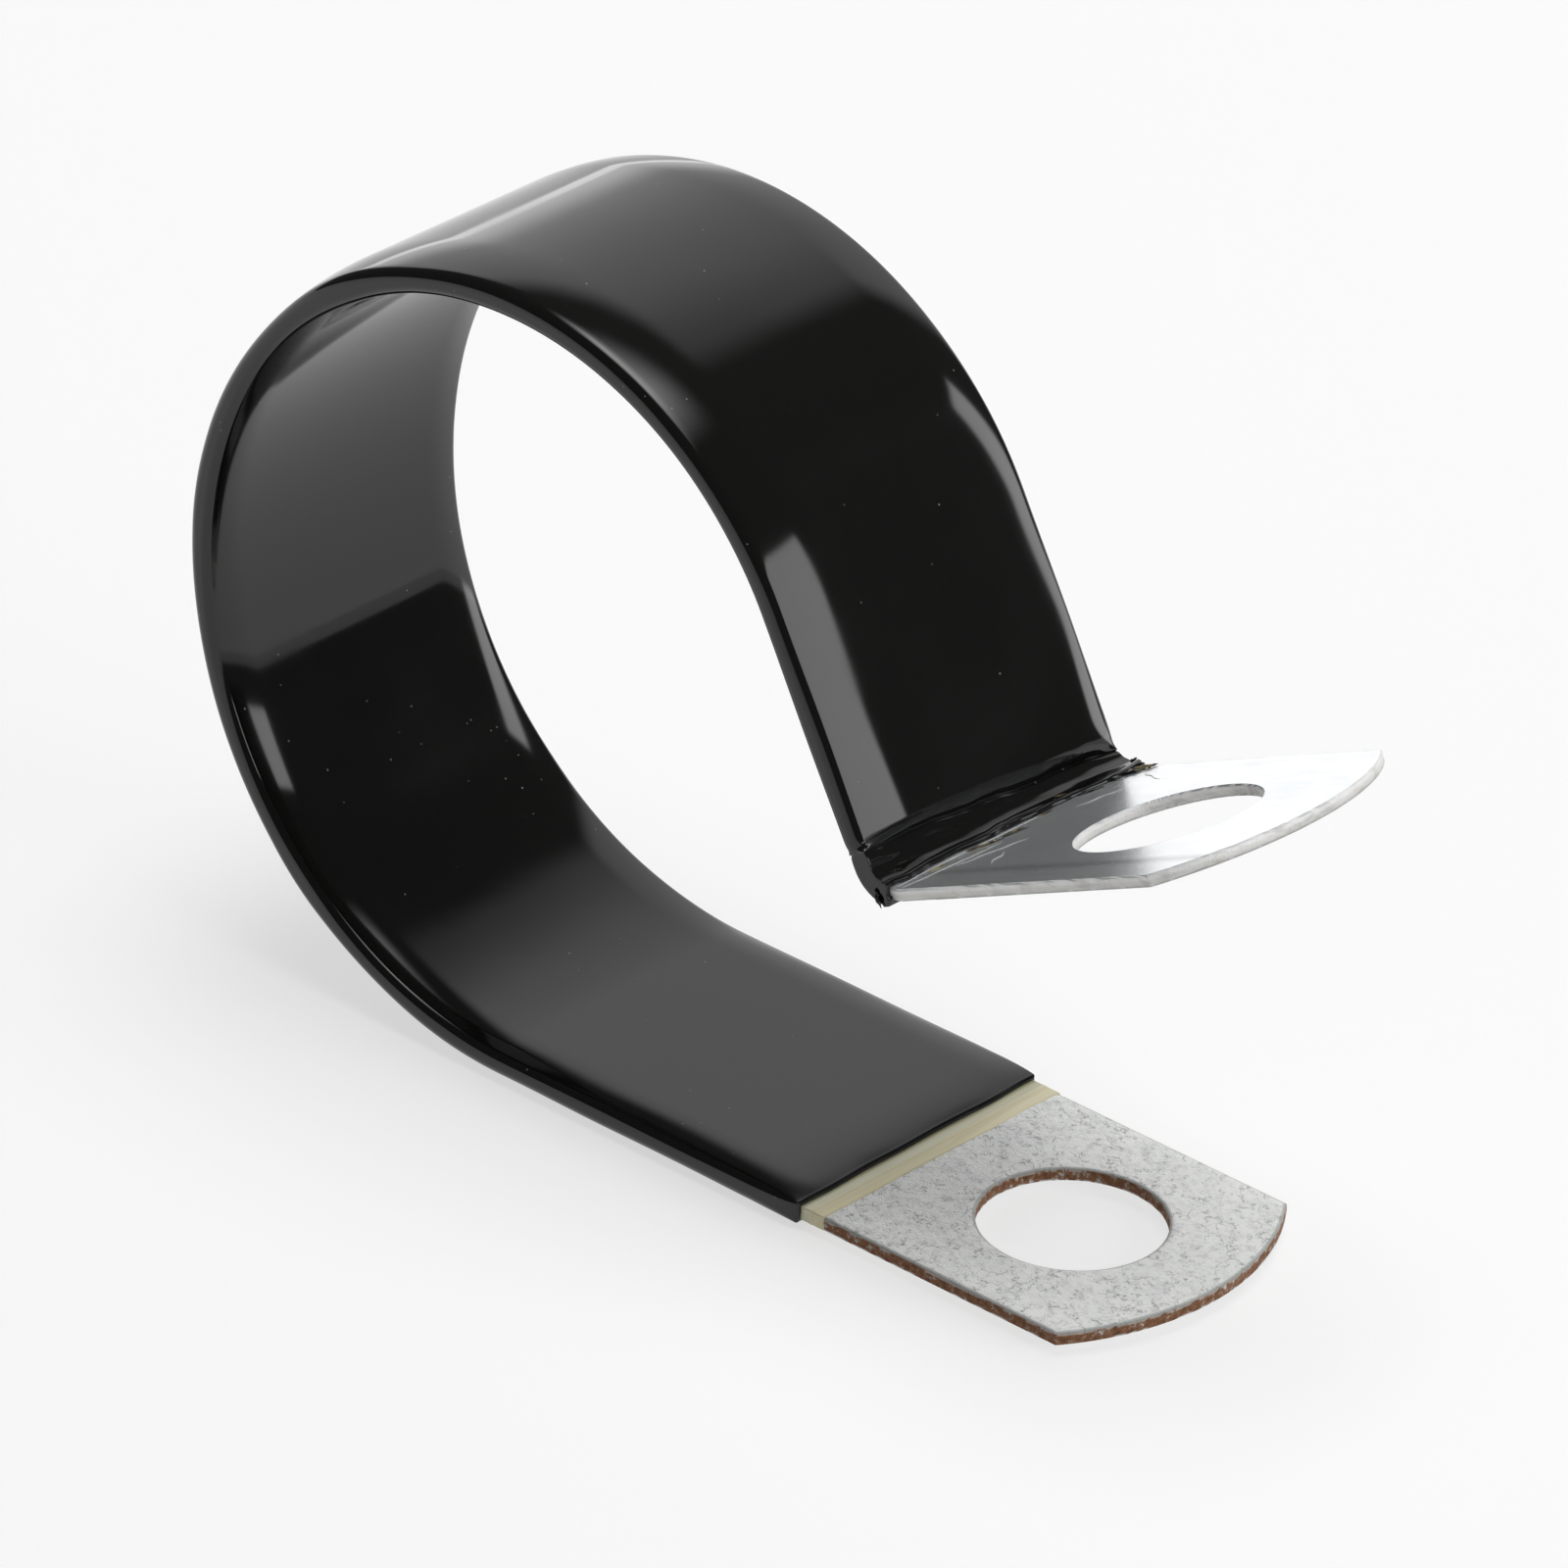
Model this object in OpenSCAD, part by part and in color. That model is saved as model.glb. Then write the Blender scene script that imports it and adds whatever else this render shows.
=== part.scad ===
// P clip for a cable, hose or pipe: one bent steel strip, dip-coated in vinyl between two bare
// ears. The cable lies in the round loop, and one bolt through both ears closes it.
//
// X runs along the lower leg from the loop towards the ear, Y across the strip, +Z up. The origin
// is on the surface that the coated leg lies on, under the middle of the whole clip.

/* [Strap] */
// Width of the steel strip
strap_w = 20; // [16:0.5:24]
// Thickness of the steel strip
strap_t = 0.8; // [0.6:0.05:1]

/* [Loop] */
// Straight coated run of the lower leg
leg_lower = 22.8; // [16:0.1:30]
// Radius of the first half of the loop, to the middle of the strip
loop_r1 = 24.7; // [20:0.1:30]
// Angle of the first half of the loop
loop_a1 = 119.2; // [110:0.1:130]
// Radius of the second half of the loop, to the middle of the strip
loop_r2 = 23.3; // [18:0.1:28]
// Angle of the second half of the loop
loop_a2 = 120.9; // [110:0.1:130]
// Straight run of the upper leg, from the loop to the bend
leg_upper = 15.1; // [10:0.1:20]
// Radius of the tight bend, to the middle of the strip
bend_r = 2; // [1.5:0.1:3.5]
// Angle of the tight bend
bend_a = 84.8; // [70:0.1:95]

/* [Ears] */
// Bare length of the lower ear, from the coat's edge to its corners
ear_lower = 19.1; // [16:0.1:26]
// Length of the upper ear, from the bend to its corners
ear_upper = 19.2; // [16:0.1:26]
// How far the lower ear's rounded end stands out past its corners
bulge_lower = 3.2; // [1:0.1:5]
// How far the upper ear's rounded end stands out past its corners
bulge_upper = 3.6; // [1:0.1:5]
// Diameter of the bolt hole in each ear
hole_d = 11; // [8:0.1:12]
// Distance of each hole's centre behind its ear's corners
hole_back = 7.4; // [6.5:0.1:8]

/* [Coat] */
// Thickness over the coated strip
coat_total = 2.2; // [1.9:0.05:2.6]
// Thickness of the coat on the strip's cut edges
coat_edge = 0.5; // [0.4:0.05:0.8]
// Radius of the coat's four long corners
coat_round = 0.8; // [0.6:0.05:0.9]
// Length over which the coat thins towards the lower ear
taper_lower = 4; // [2:0.1:6]
// Length over which the coat thins towards the bend
taper_upper = 1.9; // [1:0.1:3]
// Length of the thin skin that is left on the strip before the bend
skin_len = 0.8; // [0.4:0.1:3]
// Share of the bend that the skin covers
skin_bend = 0.9; // [0.3:0.05:0.95]
// Thickness of that skin
skin_t = 0.25; // [0.15:0.01:0.35]
// Width of the primer band that shows beside the coat on the lower ear
primer_w = 2; // [0.5:0.1:4]
// Thickness of the primer film
primer_t = 0.04; // [0.02:0.01:0.08]

/* [Hidden] */
$fn = 96;

// Everything below is worked out in the plane of the strip's side view, as [x, z], with the
// loop's first centre over x = 0.
half = coat_total / 2;
function polar(r, a) = [r * cos(a), r * sin(a)];

centre1 = [0, half + loop_r1];
turn1 = -90 - loop_a1;
centre2 = centre1 + polar(loop_r1 - loop_r2, turn1);
turn2 = turn1 - loop_a2;
leg_top = centre2 + polar(loop_r2, turn2);
leg_dir = turn2 - 90;
leg_end = leg_top + polar(leg_upper, leg_dir);
bend_centre = leg_end + polar(bend_r, turn2);
bend_from = turn2 + 180;
bend_to = bend_from + bend_a;
ear_start = bend_centre + polar(bend_r, bend_to);
ear_dir = bend_to + 90;

// The strip's whole length along X, to place it about the origin
x_low = -loop_r1 - half;
x_high = max(leg_lower + ear_lower + bulge_lower,
             ear_start[0] + (ear_upper + bulge_upper) * cos(ear_dir) + strap_t / 2 * sin(ear_dir));
x_shift = -(x_low + x_high) / 2;

// Runs of the strip and of the coat reach a little into their neighbours along its length, and each
// is a hair slimmer than one of its neighbours, so that together they are one solid.
lap = 0.05;
slim = 0.01;

// Cross-sections: x is across the strip's thickness and y along its width. An inset makes the
// wall of a section that much thinner on every side.
module strip_section(inset = 0) {
    square([strap_t - 2 * inset, strap_w - 2 * inset], center = true);
}

module coat_section(inset = 0) {
    h = half - inset;
    w = strap_w / 2 + coat_edge - inset;
    difference() {
        union() {
            square([2 * (h - coat_round), 2 * w], center = true);
            square([2 * h, 2 * (w - coat_round)], center = true);
            for (i = [-1, 1], j = [-1, 1])
                translate([i * (h - coat_round), j * (w - coat_round)])
                    circle(r = coat_round);
        }
        strip_section(-inset);
    }
}

// A thin sleeve of one thickness all round the strip
module sleeve_section(t, inset = 0) {
    difference() {
        square([strap_t + 2 * t - 2 * inset, strap_w + 2 * t - 2 * inset], center = true);
        strip_section(-inset);
    }
}

// A section swept round an arc about the point c, from angle a0 to a1, with a lap at each end
module arc_run(c, r, a0, a1, lap0 = lap, lap1 = lap) {
    more0 = lap0 / r * 180 / PI;
    more1 = lap1 / r * 180 / PI;
    translate([c[0], 0, c[1]])
        rotate([90, 0, 0])
            rotate([0, 0, a0 - more0])
                rotate_extrude(angle = a1 - a0 + more0 + more1)
                    translate([r, 0])
                        children();
}

// A section swept straight from the point p, at the angle a above X, with a lap at each end
module straight_run(p, a, length, lap0 = lap, lap1 = lap) {
    translate([p[0], 0, p[1]])
        rotate([0, 90 - a, 0])
            translate([0, 0, -lap0])
                linear_extrude(length + lap0 + lap1)
                    children();
}

// A stretch of coat that thins evenly to end_t over the faces and the edges of the strip
module taper_run(p, a, length, end_t, inset = 0, lap0 = lap) {
    t1 = strap_t / 2 + end_t - inset;
    w1 = strap_w / 2 + end_t - inset;
    t_rise = (half - inset - t1) / length;
    w_rise = (strap_w / 2 + coat_edge - inset - w1) / length;
    t0 = t1 + t_rise * (length + lap0);
    w0 = w1 + w_rise * (length + lap0);
    intersection() {
        straight_run(p, a, length, lap0, 0)
            coat_section(inset);
        translate([p[0], 0, p[1]])
            rotate([0, -a, 0])
                translate([0, strap_w, 0])
                    rotate([90, 0, 0])
                        linear_extrude(2 * strap_w)
                            polygon([[-lap0, -t0], [length, -t1], [length, t1], [-lap0, t0]]);
        translate([p[0], 0, p[1]])
            rotate([0, -a, 0])
                translate([0, 0, -coat_total])
                    linear_extrude(2 * coat_total)
                        polygon([[-lap0, -w0], [length, -w1], [length, w1], [-lap0, w0]]);
    }
}

// Flat outline of an ear and the strip behind it, from x = 0 to its rounded end, with the hole
module ear_outline(length, bulge) {
    end_r = (strap_w * strap_w / 4 + bulge * bulge) / (2 * bulge);
    difference() {
        union() {
            translate([0, -strap_w / 2])
                square([length, strap_w]);
            intersection() {
                translate([length - 0.5, -strap_w / 2])
                    square([bulge + 0.5, strap_w]);
                translate([length + bulge - end_r, 0])
                    circle(r = end_r);
            }
        }
        translate([length - hole_back, 0])
            circle(d = hole_d);
    }
}

module steel_strap() {
    color("#c8cbc8")
    translate([x_shift, 0, 0]) {
        translate([0, 0, half - strap_t / 2])
            linear_extrude(strap_t)
                ear_outline(leg_lower + ear_lower, bulge_lower);
        arc_run(centre1, loop_r1, turn1, -90)
            strip_section(slim);
        arc_run(centre2, loop_r2, turn2, turn1)
            strip_section(2 * slim);
        straight_run(leg_top, leg_dir, leg_upper)
            strip_section(slim);
        arc_run(bend_centre, bend_r, bend_from, bend_to)
            strip_section(2 * slim);
        translate([ear_start[0], 0, ear_start[1]])
            rotate([0, -ear_dir, 0])
                translate([0, 0, -strap_t / 2])
                    linear_extrude(strap_t)
                        ear_outline(ear_upper, bulge_upper);
    }
}

module vinyl_coating() {
    full_lower = leg_lower - taper_lower;
    full_upper = leg_upper - taper_upper - skin_len;
    color("#161616")
    translate([x_shift, 0, 0]) {
        // from the edge beside the lower ear, round the loop and down to the bend
        taper_run([full_lower, half], 0, taper_lower, skin_t, 0, 0);
        straight_run([0, half], 0, full_lower)
            coat_section(slim);
        arc_run(centre1, loop_r1, turn1, -90)
            coat_section();
        arc_run(centre2, loop_r2, turn2, turn1)
            coat_section(slim);
        straight_run(leg_top, leg_dir, full_upper)
            coat_section();
        taper_run(leg_top + polar(full_upper, leg_dir), leg_dir, taper_upper, skin_t, slim);
        // the thin skin, which ends near the end of the bend
        straight_run(leg_end - polar(skin_len, leg_dir), leg_dir, skin_len)
            sleeve_section(skin_t, 2 * slim);
        arc_run(bend_centre, bend_r, bend_from, bend_from + skin_bend * bend_a, lap, 0)
            sleeve_section(skin_t, 3 * slim);
    }
}

module primer_band() {
    color("#b0aa84")
    translate([x_shift, 0, 0])
        straight_run([leg_lower, half], 0, primer_w, 0, 0)
            sleeve_section(primer_t);
}

steel_strap();
vinyl_coating();
primer_band();
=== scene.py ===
import bmesh
import bpy
import numpy as np
from mathutils import Matrix, Quaternion, Vector


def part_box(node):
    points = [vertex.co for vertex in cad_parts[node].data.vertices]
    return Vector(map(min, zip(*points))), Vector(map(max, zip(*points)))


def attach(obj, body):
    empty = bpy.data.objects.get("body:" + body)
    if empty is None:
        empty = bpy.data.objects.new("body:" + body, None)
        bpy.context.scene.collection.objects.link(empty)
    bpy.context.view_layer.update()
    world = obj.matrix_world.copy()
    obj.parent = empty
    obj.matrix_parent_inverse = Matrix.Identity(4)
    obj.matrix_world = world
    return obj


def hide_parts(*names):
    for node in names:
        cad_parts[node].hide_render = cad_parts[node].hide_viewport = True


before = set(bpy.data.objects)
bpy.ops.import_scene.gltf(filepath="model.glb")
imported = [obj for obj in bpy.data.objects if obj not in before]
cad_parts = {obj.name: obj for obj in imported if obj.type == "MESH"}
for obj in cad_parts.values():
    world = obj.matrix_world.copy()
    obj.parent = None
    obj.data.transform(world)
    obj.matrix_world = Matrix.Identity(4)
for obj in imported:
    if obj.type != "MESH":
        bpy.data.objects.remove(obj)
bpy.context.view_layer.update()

# ---------------------------------------------------------------------------------------------
# The steel strap: one strip of zinc-coated sheet, blanked with its two bolt holes, then rolled
# into a loop and folded once at the root of the upper ear. Blanking leaves the inner face's
# edges rolled over and the outer face's edges sharp, with a torn wall between them.
# ---------------------------------------------------------------------------------------------
MM = 0.001
STRIP_W = 20 * MM
STRIP_T = 0.8 * MM
COAT_T = 0.7 * MM

# Runs of the strip's middle line, from the lower ear's corners to the upper ear's: the length of
# each run, and the angle that it turns through (to the right, clockwise, is negative)
LEG_LOWER, EAR_LOWER = 22.8 * MM, 19.1 * MM
LOOP_R1, LOOP_A1 = 24.7 * MM, np.radians(119.2)
LOOP_R2, LOOP_A2 = 23.3 * MM, np.radians(120.9)
LEG_UPPER, EAR_UPPER = 15.1 * MM, 19.2 * MM
BEND_R, BEND_A = 2.0 * MM, np.radians(84.8)
RUNS = np.array([
    (EAR_LOWER + LEG_LOWER, 0),
    (LOOP_R1 * LOOP_A1, -LOOP_A1),
    (LOOP_R2 * LOOP_A2, -LOOP_A2),
    (LEG_UPPER, 0),
    (BEND_R * BEND_A, BEND_A),
    (EAR_UPPER, 0),
])
BULGE_LOWER, BULGE_UPPER = 3.2 * MM, 3.6 * MM
HOLE_R, HOLE_BACK = 5.5 * MM, 7.4 * MM

# Where each run starts along the strip, and the whole length between the two pairs of corners
RUN_START = np.concatenate([[0], np.cumsum(RUNS[:, 0])])
STRIP_END = RUN_START[-1]
RUN_CURVE = RUNS[:, 1] / RUNS[:, 0]
RUN_HEADING = np.pi + np.concatenate([[0], np.cumsum(RUNS[:, 1])])


def chord(length, curve, heading):
    """From the start of an arc to a point `length` along it: the chord is length * sin(a) / a for
    half its turn a, and points half way between the two end headings."""
    half = length * curve / 2
    reach = length * np.sinc(half / np.pi)
    return np.stack([reach * np.cos(heading + half), reach * np.sin(heading + half)], -1)


# The strip's middle stands over the floor by the coat and half the steel. Along X, the back of the
# loop is put where the strap's own box begins
run_point = np.zeros((len(RUNS) + 1, 2))
for k in range(len(RUNS)):
    run_point[k + 1] = run_point[k] + chord(RUNS[k, 0], RUN_CURVE[k], RUN_HEADING[k])
loop_back = run_point[1, 0] - LOOP_R1 - STRIP_T / 2
run_point += [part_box("steel_strap")[0].x - loop_back, COAT_T + STRIP_T / 2]


def along_strip(s):
    """The point (x, z) of the middle line at length s, its forward direction, and the direction
    out of the loop, which is the forward direction turned a quarter to the left."""
    k = np.clip(np.searchsorted(RUN_START, s, side="right") - 1, 0, len(RUNS) - 1)
    reach = s - RUN_START[k]
    point = run_point[k] + chord(reach, RUN_CURVE[k], RUN_HEADING[k])
    heading = RUN_HEADING[k] + reach * RUN_CURVE[k]
    forward = np.stack([np.cos(heading), np.sin(heading)], -1)
    outward = np.stack([-np.sin(heading), np.cos(heading)], -1)
    return point, forward, outward


def on_strip(s, y, out):
    """Points at length s along the strip, y across it and `out` from its middle, out of the loop."""
    s, y, out = np.broadcast_arrays(s, y, out)
    point, _, outward = along_strip(s)
    place = point + out[..., None] * outward
    return np.stack([place[..., 0], y, place[..., 1]], -1)


def ripple(u, v, size, seed, terms=9):
    """Smooth random swell between about -1 and 1: a sum of sine waves of random direction and
    phase, whose length is between `size` and three times that."""
    draw = np.random.default_rng(seed)
    angle = draw.uniform(0, 2 * np.pi, terms)
    wave = 2 * np.pi / (size * draw.uniform(1, 3, terms))
    phase = draw.uniform(0, 2 * np.pi, terms)
    total = 0
    for a, w, p in zip(angle, wave, phase):
        total = total + np.sin(w * (u * np.cos(a) + v * np.sin(a)) + p)
    return total / np.sqrt(terms)


def grid_faces(rows, columns, first=0, round_rows=False, round_columns=False):
    """Quads between the neighbouring points of a grid, which are numbered row by row."""
    i, j = np.meshgrid(
        np.arange(rows - (not round_rows)), np.arange(columns - (not round_columns)), indexing="ij")
    i2, j2 = (i + 1) % rows, (j + 1) % columns
    quads = np.stack([i * columns + j, i2 * columns + j, i2 * columns + j2, i * columns + j2], -1)
    return first + quads.reshape(-1, 4)


def make_piece(name, grids, material, marks=None):
    """One mesh object from grids of points: each grid is (points, round_rows, round_columns).
    Points that meet are merged, and `marks` holds a value for every point under each name."""
    points, faces, count = [], [], 0
    for grid, round_rows, round_columns in grids:
        rows, columns = grid.shape[:2]
        faces.append(grid_faces(rows, columns, count, round_rows, round_columns))
        points.append(grid.reshape(-1, 3))
        count += rows * columns
    mesh = bpy.data.meshes.new(name)
    mesh.from_pydata(np.concatenate(points), [], np.concatenate(faces))
    for mark, values in (marks or {}).items():
        layer = mesh.attributes.new(mark, "FLOAT", "POINT")
        layer.data.foreach_set("value", np.concatenate([v.ravel() for v in values]).astype(np.float32))
    piece = bpy.data.objects.new(name, mesh)
    bpy.context.collection.objects.link(piece)
    seal(mesh)
    mesh.shade_smooth()
    mesh.materials.append(material)
    return piece


def seal(mesh):
    """Merges points that meet, and turns every face outwards."""
    shell = bmesh.new()
    shell.from_mesh(mesh)
    bmesh.ops.remove_doubles(shell, verts=shell.verts, dist=0.5e-6)
    bmesh.ops.recalc_face_normals(shell, faces=shell.faces)
    shell.to_mesh(mesh)
    shell.free()


def graded(count, ease=0.55):
    """Numbers from -1 to 1 that crowd towards both ends, by mixing even steps with a sine."""
    t = np.linspace(-1, 1, count)
    return (1 - ease) * t + ease * np.sin(t * np.pi / 2)


# The rolled rim of the inner face: how wide it is and how deep it sinks at the cut
RIM_W, RIM_DEEP = 0.42 * MM, 0.12 * MM
# The torn wall stands out by this much half way up, and its tear is this rough
WALL_BELLY, WALL_TEAR = 0.012 * MM, 0.008 * MM
WALL_ROWS = 6
FACE_COLUMNS = 49
RAY_ROWS = 26
# Each ear's grid ends this far behind its hole's middle, and the bent strip's grid takes over
EAR_ROOT = 9.2 * MM


def rim_sink(gap):
    """How far the rolled rim sinks at a distance `gap` from the cut: a quarter round."""
    near = np.clip(1 - gap / RIM_W, 0, 1)
    return RIM_DEEP * (1 - np.sqrt(1 - near ** 2 * 0.999))


def wall_shift(u, f, seed):
    """Outward place of the torn wall at the share f of the thickness: a belly with a ragged tear
    that dies away at both faces."""
    tear = ripple(u, f * STRIP_T * 0.6, 0.22 * MM, seed) * WALL_TEAR
    return (WALL_BELLY + tear) * np.sin(np.pi * f)


def ear(lower):
    """Grids of one ear, as (s, y, out) points. Rays run from the hole's edge to the outline, and
    the outline goes along the root, up one side, round the convex end and back."""
    bulge = BULGE_LOWER if lower else BULGE_UPPER
    end_r = (STRIP_W ** 2 / 4 + bulge ** 2) / (2 * bulge)
    root = HOLE_BACK + EAR_ROOT
    across = graded(FACE_COLUMNS) * STRIP_W / 2
    side = np.linspace(0, root, 30)[1:-1]
    turn = np.linspace(-1, 1, 61) * np.arcsin(STRIP_W / 2 / end_r)
    outline = np.concatenate([
        np.stack([0 * across + root, across], -1),
        np.stack([root - side, 0 * side + STRIP_W / 2], -1),
        np.stack([end_r - bulge - end_r * np.cos(turn), -end_r * np.sin(turn)], -1),
        np.stack([side, 0 * side - STRIP_W / 2], -1),
    ])
    free = slice(len(across) - 1, None)
    hole = np.array([HOLE_BACK, 0])
    ray = outline - hole
    ray = ray / np.linalg.norm(ray, axis=1, keepdims=True)
    rows = (1 - np.cos(np.linspace(0, np.pi, RAY_ROWS))) / 2
    start = hole + ray * HOLE_R
    flat = start + rows[:, None, None] * (outline - start)
    gap_side = STRIP_W / 2 - np.abs(flat[..., 1])
    gap_end = end_r - np.hypot(flat[..., 0] - (end_r - bulge), flat[..., 1])
    gap_hole = np.hypot(flat[..., 0] - HOLE_BACK, flat[..., 1]) - HOLE_R
    gap = np.minimum(np.minimum(gap_side, gap_end), gap_hole)
    sink = rim_sink(gap)
    half = STRIP_T / 2
    # the torn walls of the free edge and the hole, from the inner face (f = 0) to the outer (f = 1)
    f = np.linspace(0, 1, WALL_ROWS)[:, None]
    edge = np.concatenate([outline[free], outline[:1]])
    step = np.roll(edge, -1, 0) - np.roll(edge, 1, 0)
    step[0], step[-1] = edge[1] - edge[0], edge[-1] - edge[-2]
    normal = np.stack([step[:, 1], -step[:, 0]], -1)
    normal /= np.linalg.norm(normal, axis=1, keepdims=True)
    travel = np.concatenate([[0], np.cumsum(np.hypot(*np.diff(edge, axis=0).T))])
    seed = 11 if lower else 12
    out_side = -half + rim_sink(0) + (2 * half - rim_sink(0)) * f
    fade = np.clip(np.minimum(travel, travel[-1] - travel) / (1.5 * MM), 0, 1)
    shift = wall_shift(travel[None], f, seed) * fade
    wall = edge[None] + shift[..., None] * normal[None]
    ring = np.concatenate([start, start[:1]])
    ring_n = np.concatenate([ray, ray[:1]])
    turn = np.linspace(0, 2 * np.pi, len(ring))[None]
    shift = wall_shift(4 * MM * np.sin(turn), f, seed + 2)
    hole_wall = ring[None] - shift[..., None] * ring_n[None]

    def placed(plan, out):
        """Plan points (distance behind the corners, across) on the strip, at `out`."""
        s = plan[..., 0] if lower else STRIP_END - plan[..., 0]
        return on_strip(s, plan[..., 1], out)

    grids = [
        (placed(flat, -half + sink), False, True),
        (placed(flat, 0 * sink + half), False, True),
        (placed(wall, np.broadcast_to(out_side, wall.shape[:2])), False, False),
        (placed(hole_wall, np.broadcast_to(out_side, hole_wall.shape[:2])), False, False),
    ]
    on_wall, on_hole = 0 * wall[..., 0], 0 * hole_wall[..., 0]
    cut = [0 * sink, 0 * sink, on_wall + 1, on_hole + 1]
    depth = [0 * sink, 0 * sink + 1, on_wall + f, on_hole + f]
    rim = [np.clip(1 - gap / RIM_W, 0, 1), 0 * sink, on_wall, on_hole]
    plans = [flat, flat, wall, hole_wall]
    place = [(plan[..., 0] if lower else STRIP_END - plan[..., 0]) for plan in plans]
    return grids, {"cut": cut, "rim": rim, "place": place, "depth": depth}


def strip_between():
    """Grid of the strip from ear to ear: a closed cross-section carried along the middle line."""
    y = graded(FACE_COLUMNS) * STRIP_W / 2
    half = STRIP_T / 2
    sink = rim_sink(STRIP_W / 2 - np.abs(y))
    f = np.linspace(0, 1, WALL_ROWS)[1:-1]
    wall_out = -half + rim_sink(0) + (2 * half - rim_sink(0)) * f
    y_ring = np.concatenate([y, 0 * f + STRIP_W / 2, y[::-1], 0 * f - STRIP_W / 2])
    out_ring = np.concatenate([-half + sink, wall_out, 0 * y + half, wall_out[::-1]])
    cut = np.concatenate([0 * y, 0 * f + 1, 0 * y, 0 * f + 1])
    rim = np.concatenate([np.clip(1 - (STRIP_W / 2 - np.abs(y)) / RIM_W, 0, 1), 0 * f, 0 * y, 0 * f])
    depth = np.concatenate([0 * y, f, 0 * y + 1, f[::-1]])
    first, last = HOLE_BACK + EAR_ROOT, STRIP_END - HOLE_BACK - EAR_ROOT
    bend0, bend1 = RUN_START[4], RUN_START[5]
    s = np.concatenate([
        np.linspace(first, RUN_START[1], 12)[:-1],
        np.linspace(RUN_START[1], RUN_START[3], 120)[:-1],
        np.linspace(RUN_START[3], bend0, 12)[:-1],
        np.linspace(bend0, bend1, 25)[:-1],
        np.linspace(bend1, last, 4),
    ])
    grid = on_strip(s[:, None], y_ring[None], out_ring[None])
    every = np.ones((len(s), 1))
    return [(grid, False, True)], {
        "cut": [every * cut], "rim": [every * rim], "depth": [every * depth],
        "place": [s[:, None] * np.ones((1, len(y_ring)))]}


def new_material(name):
    """A node material, with its tree and its Principled shader."""
    material = bpy.data.materials.new(name)
    material.use_nodes = True
    tree = material.node_tree
    return material, tree, tree.nodes["Principled BSDF"]


def add_node(tree, kind, inputs=None, **settings):
    """Adds a node; an input is a value, or another node's output socket to link."""
    node = tree.nodes.new(kind)
    for key, value in settings.items():
        setattr(node, key, value)
    for key, value in (inputs or {}).items():
        if isinstance(value, bpy.types.NodeSocket):
            tree.links.new(value, node.inputs[key])
        else:
            node.inputs[key].default_value = value
    return node


def ramp(tree, fac, stops, smooth=True):
    """A colour ramp: stops are (position, grey value or colour)."""
    node = add_node(tree, "ShaderNodeValToRGB", {"Fac": fac})
    node.color_ramp.interpolation = "EASE" if smooth else "LINEAR"
    while len(node.color_ramp.elements) < len(stops):
        node.color_ramp.elements.new(0.5)
    for element, (position, value) in zip(node.color_ramp.elements, stops):
        element.position = position
        element.color = (*value, 1) if np.ndim(value) else (value, value, value, 1)
    return node.outputs["Color"]


def mixed(tree, fac, a, b):
    """Colour a where fac is 0 and b where it is 1."""
    node = add_node(tree, "ShaderNodeMix", {"Factor": fac}, data_type="RGBA")
    for key, value in (("A", a), ("B", b)):
        socket = [s for s in node.inputs if s.name == key and s.type == "RGBA"][0]
        if isinstance(value, bpy.types.NodeSocket):
            tree.links.new(value, socket)
        else:
            socket.default_value = (*value, 1)
    return [s for s in node.outputs if s.type == "RGBA"][0]


def maths(tree, operation, a, b=0.0, clamp=False):
    """One arithmetic step between two sockets or numbers."""
    node = add_node(tree, "ShaderNodeMath", operation=operation, use_clamp=clamp)
    for socket, value in zip(node.inputs, (a, b)):
        if isinstance(value, bpy.types.NodeSocket):
            tree.links.new(value, socket)
        else:
            socket.default_value = value
    return node.outputs[0]


def noise(tree, vector, scale, detail=2.0, rough=0.5, stretch=None):
    """Noise on the given coordinates, which may be stretched first."""
    if stretch:
        vector = add_node(tree, "ShaderNodeMapping", {"Vector": vector, "Scale": stretch}).outputs[0]
    node = add_node(tree, "ShaderNodeTexNoise", {
        "Vector": vector, "Scale": scale, "Detail": detail, "Roughness": rough})
    return node.outputs["Fac"]


def times(tree, a, b, factor=1.0):
    """Colour a multiplied by colour b."""
    node = add_node(tree, "ShaderNodeMix", {"Factor": factor}, data_type="RGBA", blend_type="MULTIPLY")
    for socket, value in zip([s for s in node.inputs if s.type == "RGBA"], (a, b)):
        tree.links.new(value, socket)
    return [s for s in node.outputs if s.type == "RGBA"][0]


# Finish of the zinc: how many features a metre each noise has, and a painted reflection on the upper
# ear, a dark streak, this far from its middle towards the front
CLOUDS, CRINKLES, PITS, GRAINS = 330, 1250, 1700, 2300
SCRATCHES, SCRATCH_GAPS = 1150, 800
SATIN_CLOUDS, BRUSH_LINES = 160, 1400
RUST_FLECKS, SHEAR_LINES = 2100, 1700
PAINTED_STREAK_FROM_MIDDLE = 7.4 * MM
DULL_METAL, SATIN_METAL, RUST_METAL, SHEAR_METAL = 0.40, 0.76, 0.10, 0.25
DULL_ROUGH, SATIN_ROUGH, RUST_ROUGH, SHEAR_ROUGH = 0.42, 0.27, 0.75, 0.38
WORN_RIM = (0.30, 0.31, 0.285)


def grey(value):
    """A grey of this level."""
    return (value, value, value)


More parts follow.
